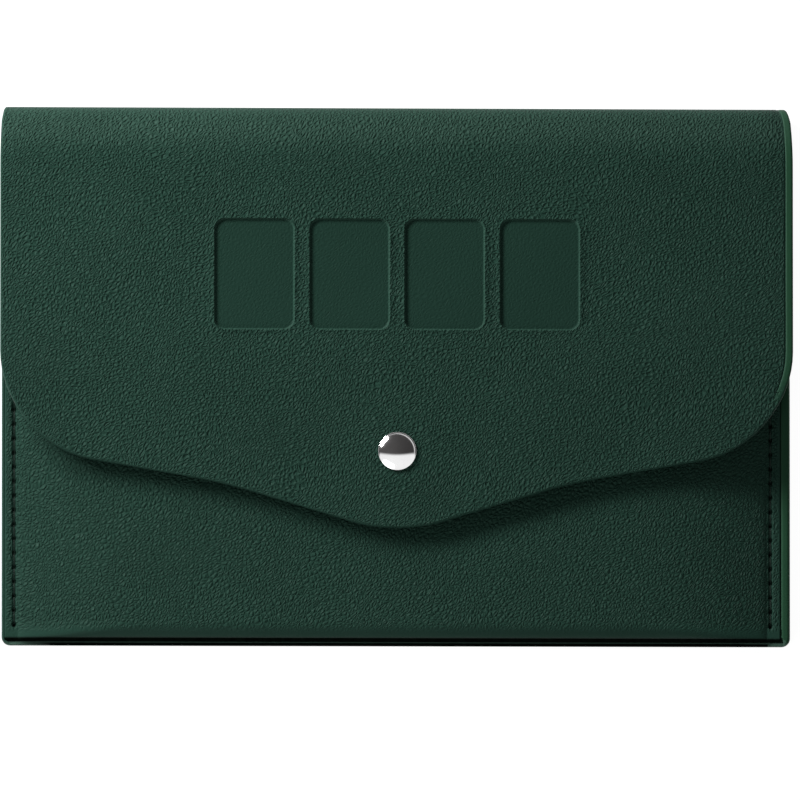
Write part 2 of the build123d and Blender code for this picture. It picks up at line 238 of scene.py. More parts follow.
def edge_distance(points, ring):
    """Distance of each point from a closed outline, and the outward direction of the nearest edge."""
    start, end = ring, np.roll(ring, -1, axis=0)
    run = end - start
    length = np.linalg.norm(run, axis=1)
    area = np.sum(start[:, 0] * end[:, 1] - end[:, 0] * start[:, 1])
    outward = np.stack([run[:, 1], -run[:, 0]], axis=1) / length[:, None] * np.sign(area)
    share = ((points[:, None] - start) * run).sum(axis=2) / (length ** 2)
    nearest = start + np.clip(share, 0, 1)[:, :, None] * run
    gap = np.linalg.norm(points[:, None] - nearest, axis=2)
    closest = gap.argmin(axis=1)
    return gap[np.arange(len(points)), closest], outward[closest]


def spaced(start, end, step):
    """Places from start to end, about a step apart."""
    count = max(1, round((end - start) / step))
    return [start + (end - start) * index / count for index in range(count + 1)]


# %% [markdown]
# The outer leather of such a pouch is wider than the wall. Its edge is skived thin, turned round the
# filling and glued down as a hem. So the mesh is a plate as thick as leather and filling together,
# with its rims rounded by a bevel, and with a wide recess in its inner side for the filling. Rings
# inset from the edge give the outer face the points it needs to roll over and to take a crease.

# %% A leather panel with turned edges
# Of these marks, the fourth lightens places as painted highlights, and the third darkens places partly as
# edge paint and partly as painted shade.
mark_names = ("grain", "rim", "ink_and_shade", "painted_highlight", "pressed")
plain_marks = (1.0, 0.0, 0.0, 0.0, 0.0)
# Strengths of painted highlights, lighter tones that stand in for light: on the fold, along crest lines and
# round the tiles.
fold_highlight_share = 0.17
edge_highlight_share = 0.27
tile_highlight_share = 0.20
ink_and_shade_limit = 0.4
edge_zone = 3 * mm
sharp_turn = radians(50)
facing_up = 0.9


def top_faces(bm):
    """Faces of the outer side of a flat pattern."""
    return [face for face in bm.faces if face.normal.z > facing_up and face.calc_center_median().z > -hair]


def turned_panel(bm, open_end, roll, hem_roll, ring_steps):
    """Gives a flat outline its thickness, rounded rims, edge rings and the hem's recess."""
    push_down(bm, bm.faces[:], hem_depth)
    bmesh.ops.recalc_face_normals(bm, faces=bm.faces[:])
    for height, offset, segments in ((0, roll, 5), (-hem_depth, hem_roll, 3)):
        rim = [
            edge for edge in bm.edges
            if all(abs(v.co.z - height) < touch for v in edge.verts)
            and not all(abs(v.co.y - open_end) < touch for v in edge.verts)
        ]
        bmesh.ops.bevel(
            bm, geom=rim, offset=offset, offset_type="OFFSET", segments=segments, profile=0.5,
            affect="EDGES", material=-1, clamp_overlap=False,
        )
    for step in ring_steps:
        bmesh.ops.inset_region(bm, faces=[max(top_faces(bm), key=lambda f: f.calc_area())], thickness=step)
    inner = min(bm.faces, key=lambda f: (round(f.calc_center_median().z, 6), -f.calc_area()))
    bmesh.ops.inset_region(bm, faces=[inner], thickness=hem_width - hem_roll)
    push_down(bm, [inner], -filling)
    if inner.is_valid:
        bmesh.ops.delete(bm, geom=[inner], context="FACES_ONLY")


def trim_at(bm, place, keep_above):
    """Cuts a panel off square at a place along the strip and closes the cut."""
    cut = bmesh.ops.bisect_plane(
        bm, geom=bm.verts[:] + bm.edges[:] + bm.faces[:], dist=hair, plane_co=(0, place, 0),
        plane_no=(0, 1, 0), clear_inner=keep_above, clear_outer=not keep_above,
    )
    rim = [edge for edge in cut["geom_cut"] if isinstance(edge, bmesh.types.BMEdge)]
    bmesh.ops.holes_fill(bm, edges=rim, sides=0)


def mark_surface(bm, unrolled, shares):
    """Stores each point's place on the flat leather and its shares, and gives the matt material to the faces
    darkened by inking and painted shade.
    """
    ink_and_shade = mark_names.index("ink_and_shade")
    bm.verts.index_update()
    uv = bm.loops.layers.uv.new("strip")
    layers = [bm.verts.layers.float.new(mark) for mark in mark_names]
    for vert in bm.verts:
        for layer, share in zip(layers, shares[vert.index]):
            vert[layer] = share
    for face in bm.faces:
        for loop in face.loops:
            loop[uv].uv = unrolled[loop.vert.index]
        if all(shares[vert.index][ink_and_shade] > ink_and_shade_limit for vert in face.verts):
            face.material_index = 1


def finish_panel(bm, name, ring, drawn, relief, marks=None):
    """Marks, dents and lays a flat pattern on the wall, and makes an object of it."""
    gaps, outward = edge_distance(np.array([vert.co.xy for vert in bm.verts]), ring)
    unrolled = []
    shares = []
    for vert, gap, out in zip(bm.verts, gaps, outward):
        x, s, depth = vert.co.x, vert.co.y, -vert.co.z
        over = min(depth, hem_depth) if gap < edge_zone else 0.0
        unrolled.append((x + out[0] * over, -s - out[1] * over))
        shares.append(marks(x, s, gap, depth, out) if marks else plain_marks)
        vert.co = on_wall(drawn(x, s), s, depth + relief(x, s, gap, depth, out))
    mark_surface(bm, unrolled, shares)
    return as_piece(bm, name)


def as_piece(bm, name):
    """Turns a bmesh into a smooth object at the origin, with its real corners kept sharp."""
    bmesh.ops.recalc_face_normals(bm, faces=bm.faces[:])
    for face in bm.faces:
        face.smooth = True
    for edge in bm.edges:
        edge.smooth = edge.calc_face_angle(0) < sharp_turn
    mesh = bpy.data.meshes.new(name)
    bm.to_mesh(mesh)
    bm.free()
    piece = bpy.data.objects.new(name, mesh)
    scene.collection.objects.link(piece)
    mesh.calc_loop_triangles()
    print(name, "triangles", len(mesh.loop_triangles))
    return piece


# %% [markdown]
# The flap runs from the seam half way up the fold to its shallow point. Along its right side the
# turned leather is smooth, with a crease where the turn begins. Four blank tiles are pressed into its
# face, and each press leaves a faint lip round its wall. The cap's rivet pulls the leather down a
# little, so there is a shallow dimple round it, and beyond the snap the loose end sags on the pocket.

# %% The flap's outline
tip_angle = radians(16.7)
tip_radius = 43 * mm
shoulder_x = 50 * mm
shoulder_angle = radians(10)
shoulder_bend = 120 * mm
corner_radius = 32 * mm
spare = 12 * mm


def flap_outline(inset):
    """The flap's flat outline, inset from its edges, running past the seam."""
    apex = flap_length + tip_radius * (1 / cos(tip_angle) - 1)
    shoulder = apex - shoulder_x * tan(tip_angle)
    corner = shoulder - (flap_half - shoulder_x) * tan(shoulder_angle)
    half = flap_half - inset
    corner_s = along_flap(fold_y - corner) - inset / cos(shoulder_angle) + inset * tan(shoulder_angle)
    middle_angle = (tip_angle + shoulder_angle) / 2
    inward = inset / cos((tip_angle - shoulder_angle) / 2)
    shoulder_in = shoulder_x - inward * sin(middle_angle)
    shoulder_s = along_flap(fold_y - shoulder) - inward * cos(middle_angle)
    tip_s = along_flap(fold_y - apex) - inset / cos(tip_angle)
    corners = [
        (-half, seam - spare), (half, seam - spare), (half, corner_s), (shoulder_in, shoulder_s),
        (0, tip_s), (-shoulder_in, shoulder_s), (-half, corner_s),
    ]
    roundings = [(corner, corner_radius - inset, radians(90) - shoulder_angle, 16) for corner in (2, 6)]
    roundings += [(corner, shoulder_bend + inset, tip_angle - shoulder_angle, 6) for corner in (3, 5)]
    roundings += [(4, tip_radius - inset, 2 * tip_angle, 14)]
    return cut_out(corners, roundings)


# %% [markdown]
# A tile is pressed into the leather, which stays one sheet. So the tiles aren't cut out of the mesh:
# how deep a point is sunk follows from its distance to the nearest tile's outline, a rounded
# rectangle. The crease, the dimple and the sag are distances made into depths in the same way.

# %% The flap's face
tile_width = 23 * mm
tile_height = 32 * mm
tile_gap = 4.6 * mm
tile_depth = 0.7 * mm
tile_corner = 3 * mm
tile_wall = 0.42 * mm
tile_lip = 0.14 * mm
tile_count = 4
tiles_y = fold_y - 48.7 * mm
tile_centers = [(index - (tile_count - 1) / 2) * (tile_width + tile_gap) for index in range(tile_count)]
crease_inset = 2.28 * mm
crease_depth = 0.32 * mm
crease_width = 0.2 * mm
dimple_depth = 0.22 * mm
dimple_reach = 5 * mm
sag_depth = 1.0 * mm
sag_start = along_flap(10 * mm)
sag_end = along_flap(-30 * mm)
snap_hold = 14 * mm
uneven_depth = 0.12 * mm
flap_patch = 26 * mm
calm_edge = 6 * mm
print("tiles at", [round(center / mm, 1) for center in tile_centers], "and", round(tiles_y / mm, 1), "mm")


def tile_gap_at(x, y):
    """Signed distance from the nearest tile's outline, negative inside it."""
    center = min(tile_centers, key=lambda middle: abs(x - middle))
    across = abs(x - center) - tile_width / 2 + tile_corner
    along = abs(y - tiles_y) - tile_height / 2 + tile_corner
    outside = Vector((max(across, 0), max(along, 0))).length
    return outside + min(max(across, along), 0) - tile_corner


def on_right(out):
    """1 along the right side, easing to 0 where the outline starts to turn the corner."""
    return smooth_step((out[0] - 0.86) / 0.14)


def flap_sag(x, s, gap, depth, out):
    """How far the flap's loose end has sunk towards the pocket, all through its thickness."""
    from_snap = Vector((x, s - along_flap(snap_y))).length
    free = 1 - exp(-(from_snap / snap_hold) ** 4)
    return sag_depth * free * smooth_step((s - sag_start) / (sag_end - sag_start))


def flap_relief(x, s, gap, depth, out):
    """How far a point of the flap's leather lies below its flat place."""
    y = crown_y - (s - crown_end)
    dent = on_right(out) * crease_depth * exp(-((gap - crease_inset) / crease_width) ** 2)
    to_tile = tile_gap_at(x, y)
    dent += tile_depth * smooth_step(0.5 - to_tile / tile_wall)
    dent -= tile_lip * exp(-((to_tile - 0.75 * tile_wall) / (0.5 * tile_wall)) ** 2)
    reach = Vector((x, y - snap_y)).length - cap_radius
    dent += dimple_depth * (1 - smooth_step(reach / dimple_reach))
    quiet = smooth_step((s - side_end) / (crown_end - side_end)) * smooth_step(gap / calm_edge)
    dent += uneven_depth * quiet * noise.noise(Vector((x, y, 0)) / flap_patch)
    return smooth_step(1 - depth / leather) * dent + flap_sag(x, s, gap, depth, out)


bare_edge = 0.2 * mm
grain_fade = 0.5 * mm
rim_fade = 0.3 * mm
fold_fade = 9 * mm
fold_grain = 0.1
pressed_flat = 0.85
crease_highlight_width = 0.16 * mm
fold_highlight_end = crown_end - 3 * mm
tile_highlight_width = 0.4 * tile_wall


def flap_marks(x, s, gap, depth, out):
    """Shares of grain, green rim, inking and painted shade, painted highlights and pressing at a place on the
    flap.
    """
    band = on_right(out)
    to_tile = tile_gap_at(x, crown_y - (s - crown_end))
    grain = smooth_step((gap - bare_edge - band * crease_inset) / grain_fade)
    grain *= fold_grain + (1 - fold_grain) * smooth_step((s - bend_end + fold_fade) / fold_fade)
    grain *= 1 - pressed_flat * smooth_step(0.5 - to_tile / tile_wall)
    rim = band * smooth_step((crease_inset - gap) / rim_fade)
    # Painted highlights: a light line on the crease's crest along the right rim, a lighter fold top, and
    # light lines round the tiles' walls.
    crease_highlight = edge_highlight_share * band * exp(-((gap - crease_inset + rim_fade) / crease_highlight_width) ** 2)
    fold_highlight = fold_highlight_share * smooth_step((fold_highlight_end - s) / fold_fade)
    tile_highlight = tile_highlight_share * exp(-(to_tile / tile_highlight_width) ** 2)
    pressed = smooth_step(-0.5 - to_tile / tile_wall)
    return grain, rim, 0.0, max(crease_highlight, fold_highlight, tile_highlight), pressed


# %% [markdown]
# Points are needed where the leather changes: in rings along its edge, in close rows at the tiles'
# walls, round the snap and over the fold. Elsewhere a few rows are enough, because bump in the material
# gives the grain, and that keeps the piece light.

# %% The flap's leather
bm = flap_outline(0)
flap_ring = outline_of(bm)
crease_rings = [0.4 * mm] * 3 + [0.12 * mm] * 6 + [0.3 * mm]
turned_panel(bm, seam - spare, roll=0.7 * mm, hem_roll=0.7 * mm, ring_steps=crease_rings)
near_edges = spaced(-0.6 * mm, 3.3 * mm, 0.2 * mm)
tile_xs = [
    center + side * (tile_width / 2 - offset)
    for center in tile_centers for side in (-1, 1) for offset in near_edges
]
tile_ss = [
    along_flap(tiles_y + side * (tile_height / 2 - offset)) for side in (-1, 1) for offset in near_edges
]
snap_steps = [-9, -7, -5.5, -4, -2, 0, 2, 4, 5.5, 7, 9]
fold_cuts = spaced(side_end, bend_end, 0.5 * mm) + spaced(bend_end, crown_end, 1.4 * mm)
cut_across(bm, 0, tile_xs + spaced(-112 * mm, 112 * mm, 7 * mm) + [step * mm for step in snap_steps])
cut_across(bm, 1, tile_ss + [along_flap(snap_y) + step * mm for step in snap_steps])
cut_across(bm, 1, fold_cuts)
cut_across(bm, 1, spaced(crown_end, along_flap(flap_low.y), 7 * mm)[1:-1])
trim_at(bm, seam, keep_above=True)
flap_leather = finish_panel(bm, "flap_leather", flap_ring, flap_drawn, flap_relief, flap_marks)

# %% [markdown]
# The back is the other half of the strip. From the front only its rim shows, a rounded bead beyond the
# pocket's front, widest and greenest at the right, with painted highlights along its right shoulder and
# its base, and its base edge darkened by inking, partly edge paint and partly painted shade. On the
# outside the seams lie in a shallow groove, with a pit at every stitch, darkened as painted shade.

# %% The seams' places
seam_x = pouch_half - 4.2 * mm
stitch_pitch = 4.15 * mm
stitch_count = 29
first_stitch = base_y + 6 * mm
stitch_ys = [first_stitch + index * stitch_pitch for index in range(stitch_count)]
groove_width = 0.55 * mm
groove_depth = 0.42 * mm
pit_width = 0.55 * mm
pit_length = 0.85 * mm
pit_depth = 0.85 * mm
seam_reach = 2 * mm
print("needle holes in a seam", len(stitch_ys), "every", round(stitch_pitch / mm, 2), "mm")


def seam_shape(x, y):
    """Shares of the groove that the stitches pull into the leather, and of the nearest needle hole."""
    across = abs(abs(x - front_shift) - seam_x)
    if across > seam_reach or y < stitch_ys[0] - seam_reach or y > stitch_ys[-1] + seam_reach:
        return 0.0, 0.0
    past = max(stitch_ys[0] - y, y - stitch_ys[-1], 0)
    nearest = min(stitch_ys, key=lambda place: abs(y - place))
    reach = Vector((across / pit_width, (y - nearest) / pit_length)).length
    return exp(-(across / groove_width) ** 2 - (past / groove_width) ** 2), exp(-reach ** 4)


def seam_relief(x, y):
    """How far the seam lies below the face round it."""
    groove, pit = seam_shape(x, y)
    return groove_depth * groove + pit_depth * pit


seam_steps = (-1.4, -1.0, -0.75, -0.55, -0.4, -0.27, -0.13, 0, 0.13, 0.27, 0.4, 0.55, 0.75, 1.0, 1.4)
seam_xs = [front_shift + side * (seam_x + step * mm) for side in (-1, 1) for step in seam_steps]
pit_steps = (-0.95, -0.75, -0.6, -0.45, -0.3, 0, 0.3, 0.45, 0.6, 0.75, 0.95)
seam_ys = [place + step * mm for place in stitch_ys for step in pit_steps]


# %% [markdown]
# The rim could be a tube laid along the edge, but on the real pouch it is the back's own edge. So the
# plate's edge is raised into a bead, wide at the right and narrow at the left, whose size eases from
# one side's to the next round each corner.

# %% The back's leather
def back_outline(inset):
    """The back's flat outline, inset from its edges, running past the seam."""
    left, right = inset - pouch_half, back_right - inset
    corners = [(left, inset), (right, inset), (right, seam + spare), (left, seam + spare)]
    radius = max(0.4 * mm, 2.4 * mm - inset)
    return cut_out(corners, [(corner, radius, radians(90), 6) for corner in (0, 1)])


right_bead = (3.08 * mm, 2.1 * mm)
base_bead = (1.4 * mm, 1.1 * mm)
left_bead = (0.85 * mm, 1.7 * mm)
lit_rim = 0.85 * mm
bead_fade = 12 * mm
swell_start = 0.5 * leather
back_uneven = 0.1 * mm
back_patch = 30 * mm
back_calm_end = 20 * mm
back_calm_edge = 10 * mm


def bead_size(out):
    """Width and rise of the rim's bead, easing from one side's to the next round a corner."""
    side_bead = right_bead if out[0] > 0 else left_bead
    share = smooth_step((abs(out[0]) - 0.1) / 0.8)
    return [base + share * (side - base) for base, side in zip(base_bead, side_bead)]


def bead_rise(s, gap, out):
    """How far the rim swells up beside the pocket's front, as a full rounded bead."""
    width, rise = bead_size(out)
    fade = smooth_step((back_end - s) / bead_fade)
    across = 2 * gap / width - 1
    return fade * rise * max(0.0, 1 - across ** 4) ** 0.5


def back_relief(x, s, gap, depth, out):
    """How far a point of the back lies in from its flat place."""
    dent = seam_relief(x, base_y + s) if s < back_end else 0.0
    quiet = smooth_step((back_end - s) / back_calm_end) * smooth_step(gap / back_calm_edge)
    dent += back_uneven * quiet * (1 + noise.noise(Vector((x, s, 2)) / back_patch))
    swelling = bead_rise(s, gap, out) * smooth_step((depth - swell_start) / (hem_depth - swell_start))
    return smooth_step(1 - depth / leather) * dent + swelling


back_bare_edge, back_grain_fade = 0.5 * mm, 1.5 * mm
bend_grain, bend_grain_fade = 0.15, 8 * mm
outer_side = 0.3 * mm
rim_width, rim_edge = 3.2 * mm, 0.2 * mm
ink_and_shade_end = pouch_half - 3 * mm
ink_and_shade_end_fade = 6 * mm
painted_width, painted_edge = lit_rim + 0.05 * mm, 0.1 * mm
shoulder_line, shoulder_highlight_width = 2.7 * mm, 0.2 * mm
base_highlight_width, base_highlight_edge = 2 * mm, 0.5 * mm


def back_marks(x, s, gap, depth, out):
    """Shares of grain, green rim, inking and painted shade, painted highlights and pressing at a place on the
    back.
    """
    grain = smooth_step((gap - back_bare_edge) / back_grain_fade) * smooth_step((leather - depth) / leather)
    grain *= bend_grain + (1 - bend_grain) * smooth_step((back_end - s) / bend_grain_fade)
    # The needle holes and the base edge's underside are darkened with the inking as painted shade; at the
    # base edge it is partly edge paint.
    groove, pit = seam_shape(x, base_y + s)
    if depth < outer_side:
        return grain * (1 - groove), 0.0, pit, 0.0, 0.0
    rim = smooth_step((out[0] - 0.25) / 0.3) * smooth_step((rim_width - gap) / rim_edge)
    at_base = smooth_step((-out[1] - 0.6) / 0.3)
    from_corners = smooth_step((ink_and_shade_end - abs(x)) / ink_and_shade_end_fade)
    painted = at_base * from_corners * smooth_step((painted_width - gap) / painted_edge)
    # Painted highlights: a light line along the right rim's shoulder and along the top of the base's bead.
    shoulder_highlight = edge_highlight_share * on_right(out) * exp(-((gap - shoulder_line) / shoulder_highlight_width) ** 2)
    at_face = depth > hem_depth / 2
    base_highlight = at_base * smooth_step((base_highlight_width - gap) / base_highlight_edge) if at_face else 0.0
    return grain * (1 - groove), rim, max(pit, painted), max(shoulder_highlight, base_highlight), 0.0


bm = back_outline(0)
back_ring = outline_of(bm)
turned_panel(bm, seam + spare, roll=0.9 * mm, hem_roll=0.2 * mm, ring_steps=[0.4 * mm] * 3)
bead_xs = [back_right - step for step in spaced(0.3 * mm, right_bead[0], 0.15 * mm)]
bead_xs += [step - pouch_half for step in spaced(0.25 * mm, left_bead[0], 0.09 * mm)]
cut_across(bm, 0, bead_xs + seam_xs + spaced(-100 * mm, 100 * mm, 12 * mm))
cut_across(bm, 1, spaced(0.3 * mm, base_bead[0], 0.11 * mm) + [y - base_y for y in seam_ys])
cut_across(bm, 1, spaced(stitch_ys[-1] - base_y + 8 * mm, back_end, 4 * mm))
cut_across(bm, 1, spaced(back_end, side_start, 0.55 * mm))
trim_at(bm, seam, keep_above=False)
back_leather = finish_panel(bm, "back_leather", back_ring, back_drawn, back_relief, back_marks)

# %% [markdown]
# Under the leather lies a thin sheet of foam, and over the foam a woven lining, cut a little smaller
# than the leather so that a narrow hem shows round it when the flap is open. Both follow the same
# bends, so they are flat plates laid on the wall in the same way.


def note_cut(bm):
    """Works out the area of a flat pattern's upper side, and keeps nothing of it."""
    upper = [face for face in bm.faces if face.normal.z > facing_up]
    sum(face.calc_area() for face in upper)


def layer_plate(name, outline, inset, high, low, above):
    """A plain plate between two depths of the wall, cut where it bends."""
    bm = outline(inset)
    ring = outline_of(bm)
    bmesh.ops.translate(bm, vec=(0, 0, -high), verts=bm.verts[:])
    push_down(bm, bm.faces[:], low - high)
    bmesh.ops.recalc_face_normals(bm, faces=bm.faces[:])
    cut_across(bm, 0, spaced(-100 * mm, 100 * mm, 14 * mm))
    cut_across(bm, 1, upper_bends if above else lower_bends)
    trim_at(bm, seam, above)
    note_cut(bm)
    if above:
        return finish_panel(bm, name, ring, flap_drawn, flap_sag)
    return finish_panel(bm, name, ring, back_drawn, lambda x, s, gap, depth, out: 0.0)


upper_bends = fold_cuts + spaced(crown_end, along_flap(flap_low.y), 5 * mm)
lower_bends = spaced(20 * mm, back_end, 14 * mm) + spaced(back_end, side_start, 0.55 * mm)
flap_filling = layer_plate("flap_filling", flap_outline, hem_width, leather, hem_depth, True)
back_filling = layer_plate("back_filling", back_outline, hem_width, leather, hem_depth, False)
flap_cloth = layer_plate("flap_cloth", flap_outline, lining_inset, hem_depth, wall, True)
back_cloth = layer_plate("back_cloth", back_outline, lining_inset, hem_depth, wall, False)

# %% [markdown]
# The front panel is stitched flat along its sides and swells softly inside the stitching, because the
# pocket has room for a pad and a card. Along the base its leather rolls under. Its height is a
# function of the place, so the mesh is a flat rectangle, cut finely where it rises, rolls or carries
# a seam, given a thickness and then lifted to that height.

# %% The front's height
front_half = front_high.x
front_y = front_low.y
mouth_y = front_high.y
front_face = front_high.z
flange_top = wall + lining + leather
puff_x = seam_x - 0.9 * mm
foot = 0.8 * mm
foot_turn = radians(36)
shoulder = 2.2 * mm
face_slope = radians(14)
roll = 5.8 * mm
foot_end = puff_x - foot * sin(foot_turn)
shoulder_end = foot_end - shoulder * (sin(foot_turn) - sin(face_slope))
puff_rise = foot * (1 - cos(foot_turn)) + shoulder * (cos(face_slope) - cos(foot_turn))
swell_rise = front_face - flange_top - puff_rise
swell_reach = 2 / pi ** 0.5 * swell_rise / tan(face_slope)


def arch_height(x, depth):
    """Height of the panel across its width, a depth below its outer face."""
    x = abs(x - front_shift)
    foot_radius, shoulder_radius = foot + depth, shoulder - depth
    foot_x = puff_x - foot_radius * sin(foot_turn)
    face_x = foot_x - shoulder_radius * (sin(foot_turn) - sin(face_slope))
    foot_z = flange_top - depth + foot_radius * (1 - cos(foot_turn))
    face_z = foot_z + shoulder_radius * (cos(face_slope) - cos(foot_turn))
    if x >= puff_x:
        return flange_top - depth
    if x >= foot_x:
        rise = (puff_x - x) / foot_radius
        return flange_top - depth + foot_radius * (1 - (1 - rise * rise) ** 0.5)
    if x >= face_x:
        rise = sin(foot_turn) - (foot_x - x) / shoulder_radius
        return foot_z + shoulder_radius * ((1 - rise * rise) ** 0.5 - cos(foot_turn))
    return face_z + swell_rise * erf((face_x - x) / swell_reach)


def roll_drop(y, depth):
    """How far the rolled base lies below the panel's face."""
    reach = roll - depth
    inward = reach - (y - front_y - depth)
    return 0.0 if inward <= 0 else reach - max(0.0, reach * reach - inward * inward) ** 0.5


def front_height(x, y, depth):
    """Height of the panel where the puffed side and the rolled base meet softly."""
    side_drop = front_face - depth - arch_height(x, depth)
    base_drop = roll_drop(y, depth)
    return front_face - depth - (side_drop ** 4 + base_drop ** 4) ** 0.25


# %% [markdown]
# A height shows only as well as there are points to carry it. Cuts that run up the panel are close at
# the stitching and further apart in the middle, where it is nearly flat. Cuts across the leather are
# close at the rolled base and at every needle hole, and each runs through the whole mesh. Leather and
# lining are the same kind of sheet, each with a height of its own.

# %% The front's mesh
edge_round = 0.25 * mm
hem_end = front_y + leather + 0.05 * mm
rise_steps = [puff_x - foot * sin(foot_turn) * share for share in (0, 0.25, 0.5, 0.75, 1)]
half_xs = rise_steps + spaced(foot_end, shoulder_end, 0.2 * mm)
half_xs += spaced(shoulder_end - 2 * swell_reach, shoulder_end, 2 * mm)
half_xs += spaced(0, shoulder_end - 2 * swell_reach, 4 * mm)
half_xs += [front_half - step * edge_round for step in (0.1, 0.3, 0.6, 1, 2)]
front_xs = [front_shift + side * x for side in (-1, 1) for x in half_xs]
roll_ys = [front_y + roll * (1 - cos(radians(turn))) for turn in range(6, 91, 6)]
mouth_ys = [mouth_y - step * edge_round for step in (0.1, 0.3, 0.6, 1)]


def front_sheet(name, inset, high, low, xs, ys, height_at, marks=None):
    """A sheet cut from a rectangle, given a thickness and lifted to the front's height."""
    left, right = front_shift - front_half + inset, front_shift + front_half - inset
    bottom, top = front_y + inset, mouth_y - inset / 2
    bm = cut_out([(left, bottom), (right, bottom), (right, top), (left, top)], [])
    bmesh.ops.translate(bm, vec=(0, 0, -high), verts=bm.verts[:])
    ring = outline_of(bm)
    cut_across(bm, 0, xs)
    cut_across(bm, 1, ys)
    note_cut(bm)
    push_down(bm, bm.faces[:], low - high)
    gaps = edge_distance(np.array([vert.co.xy for vert in bm.verts]), ring)[0]
    places = []
    shares = []
    for vert, gap in zip(bm.verts, gaps):
        x, y, depth = vert.co.x, vert.co.y, -vert.co.z
        places.append((x, y))
        shares.append(marks(x, y, gap, depth) if marks else plain_marks)
        vert.co.z = height_at(x, y, gap, depth)
    mark_surface(bm, places, shares)
    return as_piece(bm, name)


# %% [markdown]
# The leather's outer face dips along the seams and is rounded at its edges. Its inner face and the
# lining follow the swelling, but never sink into the back that they lie on.

# %% The front's leather and lining
front_patch = 24 * mm
front_calm_edge = 12 * mm
roll_bare, roll_grain_fade = 1.5 * mm, 5 * mm
front_grain_fade = 0.6 * mm
under_roll_shade_width, under_roll_shade_fade = 1.3 * mm, 0.8 * mm


def leather_height(x, y, gap, depth):
    """Height of the leather's outer face, with its rounded edges and seams, or of its inner face."""
    if depth > 0:
        return wall if y < hem_end else max(front_height(x, y, depth), wall + lining)
    bite = max(0.0, 1 - gap / edge_round)
    round_off = edge_round * (1 - (1 - bite * bite) ** 0.5)
    wander = uneven_depth * smooth_step(gap / front_calm_edge) * noise.noise(Vector((x, y, 5)) / front_patch)
    return max(front_height(x, y, 0), wall + leather) - round_off - seam_relief(x, y) + wander


def front_marks(x, y, gap, depth):
    """Shares of grain, green rim, inking and painted shade, painted highlights and pressing at a place on the
    front.
    """
    grain = smooth_step((y - front_y - roll_bare) / roll_grain_fade)
    grain *= smooth_step((gap - bare_edge) / front_grain_fade)
    groove, pit = seam_shape(x, y)
    # Painted shade: the underside of the rolled base and the needle holes are darkened with the inking.
    under_roll_shade = smooth_step((front_y + under_roll_shade_width - y) / under_roll_shade_fade)
    return grain * (1 - groove), 0.0, max(pit, under_roll_shade), 0.0, 0.0


def lining_height(x, y, gap, depth):
    """Height of the lining, which lies close under the leather."""
    return max(front_height(x, y, depth), wall + leather + lining - depth)


front_leather = front_sheet(
    "front_leather", 0, 0, leather, seam_xs + front_xs, seam_ys + roll_ys + mouth_ys + [hem_end],
    leather_height, front_marks,
)
lining_ys = roll_ys + spaced(-70 * mm, 45 * mm, 6 * mm)
front_cloth = front_sheet(
    "front_cloth", lining_inset, leather, leather + lining, front_xs, lining_ys, lining_height,
)

# %% [markdown]
# Each stitch is one arch of thread that comes up out of a hole, lies along the groove and goes down
# the next hole. A small circle spun through part of a turn makes one arch, and a loop makes one for
# every stitch of the seam. The under thread does the same on the back.

# %% Stitches
thread_radius = 0.24 * mm
thread_sides = 7
stitch_rise = 0.75 * mm
stitch_steps = 9


def stitch_row(name, side, peak, down):
    """A row of arched stitches along one seam, that peak at a height and dive down or up."""
    bend = (stitch_pitch * stitch_pitch / 4 + stitch_rise * stitch_rise) / (2 * stitch_rise)
    half_turn = np.arcsin(stitch_pitch / 2 / bend)
    bm = bmesh.new()
    for y in stitch_ys[:-1]:
        x = front_shift + side * seam_x
        middle = Vector((x, y + stitch_pitch / 2, peak - down * (bend + thread_radius)))
        start = Matrix.Translation(middle) @ Matrix.Rotation(down * half_turn, 4, "X")
        ring = bmesh.ops.create_circle(
            bm, cap_ends=True, radius=thread_radius, segments=thread_sides,
            matrix=start @ Matrix.Translation((0, 0, down * bend)) @ Matrix.Rotation(pi / 2, 4, "X"),
        )["verts"]
        faces = list({face for vert in ring for face in vert.link_faces})
        bmesh.ops.spin(
            bm, geom=faces, cent=middle, axis=(1, 0, 0), angle=-down * 2 * half_turn,
            steps=stitch_steps, use_merge=False, use_duplicate=False,
        )
    return as_piece(bm, name)


thread_rows = {}
top_of_stitch = flange_top - 0.12 * mm
top_under_stitch = 0.1 * mm
for side, word in ((-1, "left"), (1, "right")):
    thread_rows[word + "_needle_thread"] = stitch_row(word + "_top_stitches", side, top_of_stitch, 1)
    thread_rows[word + "_bobbin_thread"] = stitch_row(word + "_back_stitches", side, top_under_stitch, -1)

# %% [markdown]
# The cap is pressed from thin sheet: a shallow dome whose rim is curled tight against the leather.
# It is a lathe shape, so one half profile is spun all the way round. Its hollow post goes down
# through the flap and is curled over inside the socket.

# %% The cap
lip = 0.25 * mm
dome_rise = cap_high.z - flap_top - 2 * lip
dome_half = cap_radius - lip
dome = (dome_half ** 2 + dome_rise ** 2) / (2 * dome_rise)
dome_turn = np.arcsin(dome_half / dome)
post_radius, post_bore, curl_radius = 1.8 * mm, 1.3 * mm, 2.3 * mm
post_end = cap_low.z
curl_height = 0.3 * mm
profile = [(dome * sin(turn), cap_high.z - dome * (1 - cos(turn))) for turn in np.linspace(0, dome_turn, 25)]
profile += [
    (dome_half + lip * sin(turn), flap_top + lip + lip * cos(turn)) for turn in np.linspace(0, pi, 9)[1:]
]
profile += [
    (post_radius, flap_top), (post_radius, post_end + curl_height), (curl_radius, post_end + curl_height),
    (curl_radius, post_end), (post_bore, post_end), (post_bore, flap_top + lip), (0, flap_top + lip),
]
bm = bmesh.new()
points = [bm.verts.new((x, snap_y, z)) for x, z in profile]
edges = [bm.edges.new(pair) for pair in zip(points[:-1], points[1:])]
